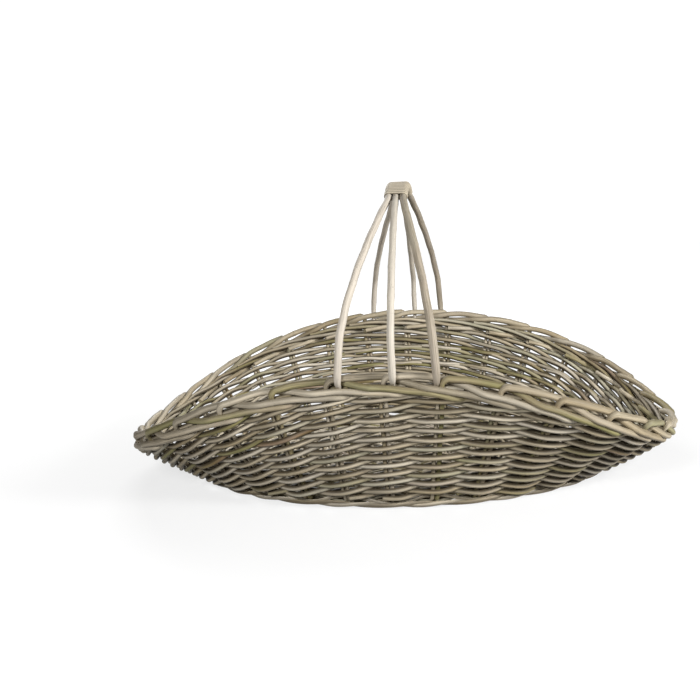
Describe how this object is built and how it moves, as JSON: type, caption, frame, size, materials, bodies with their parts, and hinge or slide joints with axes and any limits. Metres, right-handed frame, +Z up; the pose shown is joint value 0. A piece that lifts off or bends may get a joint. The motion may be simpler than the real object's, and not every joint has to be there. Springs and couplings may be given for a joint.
{
  "type": "trug garden basket",
  "caption": "Oval woven willow garden trug with high long sides, low open ends, a plaited rim and a tall rod handle across the middle, bound at the grip.",
  "frame": {"origin": "middle of the underside of the base, below the middle of the basket", "axes": "+X along the basket towards its right-hand end as pictured, +Y across it away from the viewer, +Z up through the handle"},
  "size_m": [0.7, 0.4868, 0.3612],
  "materials": {
    "side_weave": "peeled willow rods, grey-washed, matt, with greenish and brown rods among them",
    "side_stakes": "peeled willow rods, grey-washed, matt",
    "border": "peeled willow rods, grey-washed, slightly smoothed on top",
    "handle_rods": "thick peeled willow rods, grey-washed, slightly smoothed by hands",
    "handle_skein": "split flat willow skein, grey-washed, matt",
    "base": "woven peeled willow rods on thick split sticks, grey-washed, matt"
  },
  "bodies": {
    "root": {"base_mat_under": "base", "base_mat_inside": "base", "base_cross_sticks": "base", "base_long_sticks": "base", "foot_wale": "base", "handle_rod_left": "handle_rods", "handle_rod_middle": "handle_rods", "handle_rod_right": "handle_rods", "handle_binding": "handle_skein", "border_stakes_right": "border", "bye_stakes_right": "side_stakes", "border_stakes_back": "border", "bye_stakes_back": "side_stakes", "border_stakes_left": "border", "bye_stakes_left": "side_stakes", "border_stakes_front": "border", "bye_stakes_front": "side_stakes", "side_weave_bottom": "side_weave", "side_weave_lower": "side_weave", "side_weave_upper": "side_weave", "side_weave_top": "side_weave"}
  },
  "joints": []
}
